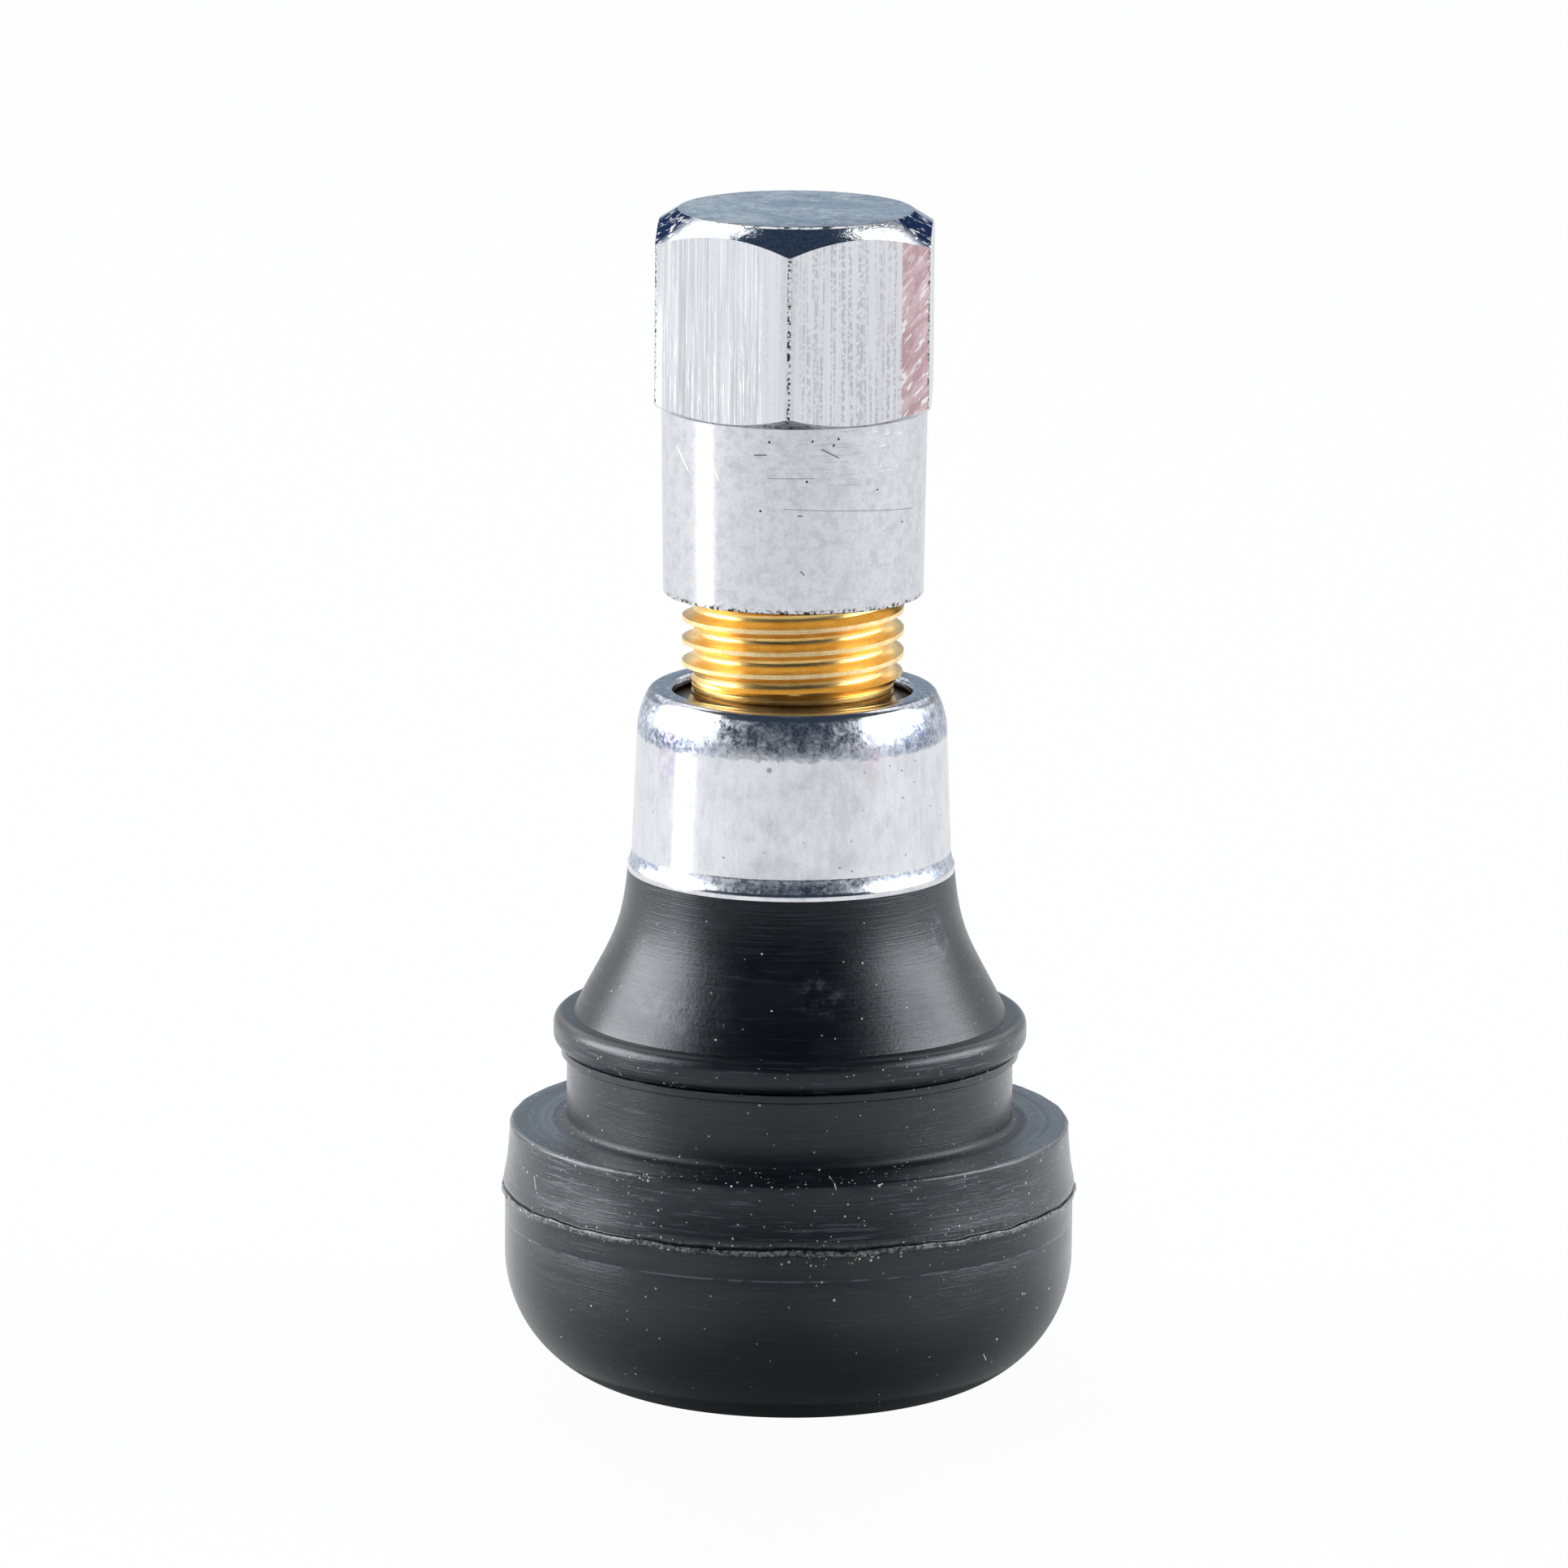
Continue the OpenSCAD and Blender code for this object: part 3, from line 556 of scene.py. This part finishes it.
bpy.ops.mesh.fill_holes(sides=0)
close_up(40)

spring_steel, place = finish("spring_wire_steel", {"Metallic": 1.0})
feed(spring_steel,
     base_color=place.grain(3, 3).ramp(0.4, 0.7).mix(shade_of(190, 192, 198), shade_of(150, 150, 156)),
     roughness=0.24 + place.grain(6, 3) * 0.14,
     normal=bumps(place.grain(12, 3), 0.003))
spring.data.materials.append(spring_steel)
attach(spring, "valve")
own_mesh(spring)
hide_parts("core_spring")

# Cap seal: a disc punched from black rubber sheet, snapped into the groove under the cap's roof,
# where it closes on the stem's tip.
dress("cap_seal", seal_black)

# Cap shell: drawn hexagon bar, its end chamfered and its lower half turned down to a round skirt, bored
# and tapped for the valve thread, then chromed in a barrel that leaves nicks on its edges.
CAP_TOP = 41.72
HEX_Z = 34.77
MOUTH_Z = 28.24
FLAT_R = 4.75
CORNER_R = FLAT_R / math.cos(math.pi / 6)
FACE_R = 4.1
SKIRT_R = 4.63
TOP_CHAMFER = 0.89
LOW_CHAMFER = 0.47
SCRATCH_R = 4.6
BORE_R = 3.55
GROOVE_R = 4.065
GROOVE_LIP_R = 3.95
TAP_GAP = 0.04
SNAP = 0.001
WHITE = (1, 1, 1, 1)
cap = turned("cap_shell_chromed", [
    (0, CAP_TOP), (1.4, CAP_TOP), (2.8, CAP_TOP), (4.06, CAP_TOP), (FACE_R, CAP_TOP - 0.012),
    (CORNER_R, CAP_TOP - TOP_CHAMFER), (CORNER_R, HEX_Z + LOW_CHAMFER), (SKIRT_R + 0.02, HEX_Z + 0.01),
    (SKIRT_R, HEX_Z - 0.02), (4.61, 33), (4.59, 31.5), (4.57, 30), (4.553, 28.5),
    (4.545, MOUTH_Z + 0.04), (4.51, MOUTH_Z), (0, MOUTH_Z),
], steps=144, closed=False)
for corner in cap.data.vertices:
    r, z = corner.co.xy.length / MM, corner.co.z / MM
    if z < HEX_Z or r <= FACE_R + SNAP:
        continue
    heading = math.degrees(math.atan2(corner.co.y, corner.co.x))
    side = heading // 60 * 60 + 30
    turn = heading % 60 - 30
    turn = math.copysign(0.55, turn) if 1 < abs(turn) < 4 else turn
    wall = min(FLAT_R / math.cos(math.radians(30 - abs(turn))), CORNER_R - 0.03)
    if z > CAP_TOP - TOP_CHAMFER - SNAP:
        share = (wall - FACE_R) / (CORNER_R - FACE_R)
        z = CAP_TOP - share * (CAP_TOP - z)
    else:
        share = (wall - SKIRT_R) / (CORNER_R - SKIRT_R)
        z = HEX_Z + share * (z - HEX_Z)
    r = wall if r > SKIRT_R + 0.1 else r
    heading = math.radians(side + turn)
    corner.co = Vector((r * math.cos(heading), r * math.sin(heading), z)) * MM
cap_bore = turned("cap_bore", [
    (0, MOUTH_Z - 0.5), (4.7, MOUTH_Z - 0.5), (4.215, MOUTH_Z), (BORE_R, MOUTH_Z + 0.61),
    (BORE_R, STEM_TIP - 0.3), (GROOVE_LIP_R, STEM_TIP - 0.3), (GROOVE_LIP_R, STEM_TIP),
    (GROOVE_R, STEM_TIP), (GROOVE_R, STEM_TIP + 1), (0, STEM_TIP + 1),
], steps=SCREW_STEPS, closed=False)
combine(cap, cap_bore, "DIFFERENCE")
combine(cap, threaded("cap_tap", MOUTH_Z - 0.4, STEM_TIP - 0.1, THREAD_R + TAP_GAP), "DIFFERENCE")
bpy.ops.object.shade_smooth_by_angle(angle=math.radians(22))

drawn_chrome, place = finish("drawn_hexagon_chrome", {"Metallic": 1.0})
_, turn, height = about_axis(place)
flat_turn = turn.maths("FLOORED_MODULO", turn, 60)
smooth_strip = flat_turn.ramp(48.8, 49.6)
right_flat = turn.ramp(0.2, 0.8) * turn.ramp(60.5, 60)
drawn_out = place.stretched(1, 1, 0.012)
white_lines = drawn_out.grain(13, 2).ramp(0.57, 0.63).most(drawn_out.grain(24, 2).ramp(0.58, 0.66))
white_lines = white_lines * (1 - smooth_strip) * (1 - right_flat * 0.75)
grey_lines = drawn_out.grain(5, 3, 0.7).ramp(0.42, 0.64) * (1 - smooth_strip * 0.8)
dashes = drawn_out.grain(10, 2).ramp(0.46, 0.56) * place.grain(7, 2).ramp(0.42, 0.56)
dashes = dashes * (0.3 + right_flat * 0.7)
edge_nicks = abs(flat_turn - 30).ramp(29.1, 29.6) * place.grain(10, 3, 0.6).ramp(0.5, 0.57)
bar = grey_lines.mix(shade_of(222, 224, 227), shade_of(202, 204, 207))
# Painted light: the front-right flat is painted lighter and more even than the other flats.
bar = (right_flat * 0.7).mix(bar, shade_of(230, 229, 230))
bar = (dashes * 0.75).mix(bar, shade_of(184, 182, 186))
bar = (white_lines * 0.5).mix(bar, WHITE)
worn_pink = smooth_strip * right_flat
across = turn * math.radians(5.2)
rubbed = place.node("ShaderNodeCombineXYZ", None,
                    {"X": across * 0.8 - height * 0.6, "Y": (across * 0.6 + height * 0.8) * 0.2})
worn_white = rubbed.grain(7, 3, 0.6).ramp(0.54, 0.64) * (0.4 + height.ramp(40.3, 38.3) * 0.5)
copper = rubbed.grain(3, 4, 0.7).ramp(0.4, 0.6).mix(shade_of(218, 188, 190), shade_of(190, 148, 153))
bar = (worn_pink * 0.85).mix(bar, worn_white.mix(copper, WHITE))
feed(drawn_chrome,
     base_color=edge_nicks.mix(bar, shade_of(48, 46, 50)),
     roughness=0.06 + grey_lines * 0.05 + worn_pink * 0.1,
     normal=bumps(white_lines * 0.5 + grey_lines * 0.5 - edge_nicks, 0.004))

chamfer_chrome, place = finish("chamfer_chrome", {"Specular IOR Level": 0.0})
_, turn, height = about_axis(place)
facets = place.grain(6, 2, 0.6)
low_cut = height.ramp(36, 35.8)
low_nicks = low_cut * place.grain(5, 3).ramp(0.54, 0.62)
# Painted reflection: navy patches at the chamfer's left and right ends, not metallic there.
painted_dark_reflection = abs(abs(turn) - 74).ramp(24, 12) * place.grain(3, 4, 0.7).ramp(0.36, 0.46) * (1 - low_cut)
steel = facets.ramp(0.45, 0.65).mix(shade_of(250, 250, 251), shade_of(206, 218, 232))
# Painted reflection: blue flecks on the chamfer near the front.
painted_reflection_flecks = place.grain(9, 3, 0.7).ramp(0.5, 0.62) * abs(turn).ramp(30, 15)
steel = (painted_reflection_flecks * 0.6).mix(steel, shade_of(120, 152, 196))
# Painted shade: the lower chamfer, which faces down, is darkened to grey.
steel = (low_cut * 0.7).mix(steel, shade_of(140, 142, 147))
# Painted highlight: a white line along the top edge at the front, not metallic there.
rim = height.ramp(CAP_TOP - 0.075, CAP_TOP - 0.055) * abs(turn).ramp(48, 20)
rim = rim * place.grain(3, 3).ramp(0.36, 0.5)
steel = painted_dark_reflection.mix(steel, shade_of(30, 46, 78))
steel = rim.mix(steel, shade_of(250, 250, 250))
feed(chamfer_chrome,
     base_color=(low_nicks * 0.8).mix(steel, shade_of(60, 58, 60)),
     metallic=1 - painted_dark_reflection.most(rim),
     roughness=0.05 + facets.ramp(0.45, 0.7) * 0.1,
     normal=bumps(facets, 0.008))

top_chrome, place = finish("faced_top_chrome", {"IOR": 1.5})
swirl = place.node("ShaderNodeTexWave", {"wave_type": "RINGS", "rings_direction": "Z"},
                   {"Vector": place, "Scale": 4.0, "Distortion": 3.0, "Detail": 3.0, "Detail Scale": 1.5})
clouds = place.node("ShaderNodeTexNoise", None,
                    {"Vector": place, "Scale": 0.32, "Detail": 6.0, "Distortion": 1.6})
top_dust = specks(place, 1.6, 0.075, 0.5).most(specks(place, 3.2, 0.05, 0.5)) * 0.8
faced = clouds.ramp(0.35, 0.65).mix(shade_of(188, 202, 217), shade_of(246, 249, 251))
faced = (place.grain(2.4, 5, 0.75).ramp(0.45, 0.62) * 0.6).mix(faced, shade_of(128, 148, 172))
feed(top_chrome,
     base_color=top_dust.mix(faced, shade_of(236, 238, 240)),
     metallic=1 - top_dust,
     roughness=0.2 + clouds * 0.1,
     normal=bumps(swirl * 0.25 + place.grain(1.2, 4) * 0.5, 0.012))

turned_chrome, place = finish("turned_skirt_chrome", {"Metallic": 1.0})
_, turn, height = about_axis(place)
lines = lathe_lines(place)
cloud = place.grain(2.2, 5, 0.7)
lathe = lines.grain(1.6, 4, 0.7).ramp(0.54, 0.72)
lathe_zone = height.ramp(30.8, 33.2) * (0.15 + turn.ramp(0, 35) * 0.85)
dots = [(-8.5, 34.31), (10, 34.35), (21.4, 34.41), (19.3, 34.19), (7.7, 32.94), (40.9, 32.49),
        (57.1, 31.21), (-12.3, 31.88)]
dots = marked(turn, height, SCRATCH_R, 0.055, [(dot, dot) for dot in dots])
pits = specks(place, 1.4, 0.04, 0.25).most(dots)
dark_scratches = marked(turn, height, SCRATCH_R, 0.032, [
    ((14.2, 34.06), (21.5, 33.75)), ((4.2, 31.74), (5.8, 31.74)), ((5.5, 29.78), (6.9, 29.67)),
    ((-15, 33.83), (-9.9, 33.85))])
turned_line = marked(turn, height, SCRATCH_R, 0.022, [
    ((-2, 31.97), (32, 31.83)), ((32, 31.83), (66, 31.58)), ((-9.1, 33.03), (10.8, 33.05))])
white_scratches = marked(turn, height, SCRATCH_R, 0.03, [
    ((-59.1, 33.73), (-50.5, 32.98)), ((-34.6, 33.09), (-32, 32.83))])
burr = height.ramp(28.46, 28.3) * place.grain(7, 3).ramp(0.5, 0.58)
satin = cloud.ramp(0.4, 0.7).mix(shade_of(230, 230, 231), shade_of(208, 209, 211))
satin = (place.grain(11, 3, 0.7).ramp(0.45, 0.7) * 0.35).mix(satin, shade_of(186, 187, 190))
satin = (lathe * lathe_zone * 0.3).mix(satin, shade_of(176, 177, 181))
satin = (dark_scratches * 0.7 + turned_line * 0.6).mix(satin, shade_of(96, 96, 100))
satin = pits.most(burr).mix(satin, shade_of(58, 54, 50))
feed(turned_chrome,
     base_color=white_scratches.mix(satin, WHITE),
     roughness=0.15 + cloud * 0.07 + white_scratches * 0.3,
     normal=bumps(lathe * lathe_zone * 0.3 + cloud * 0.4 - pits - dark_scratches * 0.6, 0.005))

bore_chrome, place = finish("bore_dull_chrome", {"Metallic": 1.0})
lines = lathe_lines(place)
feed(bore_chrome,
     base_color=place.grain(2, 4).ramp(0.4, 0.7).mix(shade_of(176, 172, 164), shade_of(140, 130, 116)),
     roughness=0.3 + lines.grain(1.5, 3) * 0.15,
     normal=bumps(lines.grain(2, 3), 0.006))

finishes = [drawn_chrome, chamfer_chrome, top_chrome, turned_chrome, bore_chrome]
for material in finishes:
    cap.data.materials.append(material)
for face in cap.data.polygons:
    r, z = face.center.xy.length / MM, face.center.z / MM
    outward = face.normal.xy.dot(face.center.xy) >= 0
    if z > CAP_TOP - 0.02:
        material = top_chrome
    elif z > HEX_Z + SNAP and r > FACE_R and outward:
        material = drawn_chrome if abs(face.normal.z) < 0.2 else chamfer_chrome
    elif r > 4.5 and outward or z < MOUTH_Z + 0.05 and r > 4.3:
        material = turned_chrome
    else:
        material = bore_chrome
    face.material_index = finishes.index(material)
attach(cap, "cap")
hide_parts("cap_shell")

# Studio: a pale table that shows white, with a painted shadow round the valve that shows in its
# reflections, a large softbox 0.7 m away on either side, a small low card close by on the left, and a
# room with pale walls and screens beside and behind, dark above and in front.
SOFTBOX_AWAY = 700
TABLE_DROP = 0.02
bpy.ops.object.select_all(action="DESELECT")
bpy.ops.mesh.primitive_plane_add(size=3, location=(0, 1.15, -TABLE_DROP * MM))
table = bpy.context.object
table.name = "table"
table_white = bpy.data.materials.new("table_white")
table_white.use_nodes = True
tree = table_white.node_tree
tree.nodes.clear()
light_path = tree.nodes.new("ShaderNodeLightPath")
seen = Wire(tree, light_path.outputs["Is Camera Ray"]) * 0.97
seen = seen + Wire(tree, light_path.outputs["Is Glossy Ray"]) * 0.05
seen = seen + Wire(tree, light_path.outputs["Is Transmission Ray"]) * 0.05
# Painted shadow: the table's colour is dark close to the valve, reaching further in front than at the
# sides.
spot = Wire(tree, tree.nodes.new("ShaderNodeNewGeometry").outputs["Position"])
spot = spot.stretched(3.6 / MM, 1 / MM, 0)
from_axis = spot.node("ShaderNodeVectorMath", {"operation": "LENGTH"}, {"Vector": spot}, "Value")
shade = from_axis.ramp(11, 56).mix((0.2, 0.2, 0.2, 1), (0.77, 0.77, 0.772, 1))
painted = seen.node("ShaderNodeBsdfDiffuse", None, {"Color": shade})
glowing = seen.node("ShaderNodeEmission", None, {"Color": WHITE, "Strength": 1.0})
surface = seen.node("ShaderNodeMixShader", None, {0: seen, 1: painted, 2: glowing})
surface.node("ShaderNodeOutputMaterial", None, {"Surface": surface})
table.data.materials.append(table_white)

room = bpy.data.worlds.new("room")
bpy.context.scene.world = room
room.use_nodes = True
tree = room.node_tree
tree.nodes.clear()
way = Wire(tree, tree.nodes.new("ShaderNodeTexCoord").outputs["Generated"])
x, y, up = way.parts()
aside = abs(way.maths("ARCTAN2", x, 0 - y)) * (180 / math.pi)
sides = aside.ramp(62, 80) * up.ramp(0.6, 0.4)
back = aside.ramp(160, 171) * up.ramp(0.5, 0.3)
screens = aside.ramp(118, 132) * aside.ramp(163, 157) * up.ramp(0.28, 0.36) * up.ramp(0.87, 0.82)
walls = sides.mix((0.03, 0.045, 0.075, 1), (0.62, 0.625, 0.64, 1))
walls = back.mix(walls, (0.4, 0.48, 0.56, 1))
walls = screens.mix(walls, (1.5, 1.5, 1.5, 1))
camera_ray = Wire(tree, tree.nodes.new("ShaderNodeLightPath").outputs["Is Camera Ray"])
backdrop = camera_ray.node("ShaderNodeBackground", None,
                           {"Color": camera_ray.mix(walls, WHITE), "Strength": 1.0})
backdrop.node("ShaderNodeOutputWorld", None, {"Surface": backdrop})


def softbox(name, azimuth, distance, low, high, width, power):
    """An upright light that faces the valve; degrees from the front to the right, and sizes in mm."""
    heading = math.radians(azimuth)
    x, y = math.sin(heading) * distance, -math.cos(heading) * distance
    bpy.ops.object.light_add(type="AREA", location=(x * MM, y * MM, (low + high) / 2 * MM))
    lamp = bpy.context.object
    lamp.name = name
    lamp.rotation_euler = (math.pi / 2, 0, heading)
    lamp.data.shape = "RECTANGLE"
    lamp.data.size = width * MM
    lamp.data.size_y = (high - low) * MM
    lamp.data.energy = power
    lamp.data.color = (0.97, 0.985, 1)
    lamp.visible_camera = False


softbox("softbox_left", -94, SOFTBOX_AWAY, 98, 725, 680, 10.2)
softbox("softbox_right", 91, SOFTBOX_AWAY, 111, 572, 700, 6.5)
softbox("card_left", -81, 90, 1, 24, 26, 0.0025)

# Camera: a long lens about 0.4 m in front of the valve, above the height of its cap and pitched about
# 12 degrees down, set 2.2 degrees round to the right.
CAMERA_ROUND = 2.2
CAMERA_AWAY = 404.5
CAMERA_UP = 105.85
CAMERA_PITCH = 78.2
CAMERA_ROLL = 0.427
bpy.ops.object.camera_add()
camera = bpy.context.object
camera.data.sensor_width = 36
camera.data.lens = 271
camera.data.shift_x = -0.00496
camera.matrix_world = (Matrix.Rotation(math.radians(CAMERA_ROUND), 4, "Z")
                       @ Matrix.Translation((0, -CAMERA_AWAY * MM, CAMERA_UP * MM))
                       @ Matrix.Rotation(math.radians(CAMERA_PITCH), 4, "X")
                       @ Matrix.Rotation(math.radians(CAMERA_ROLL), 4, "Z"))
bpy.context.scene.camera = camera
bpy.context.scene.view_settings.view_transform = "Standard"
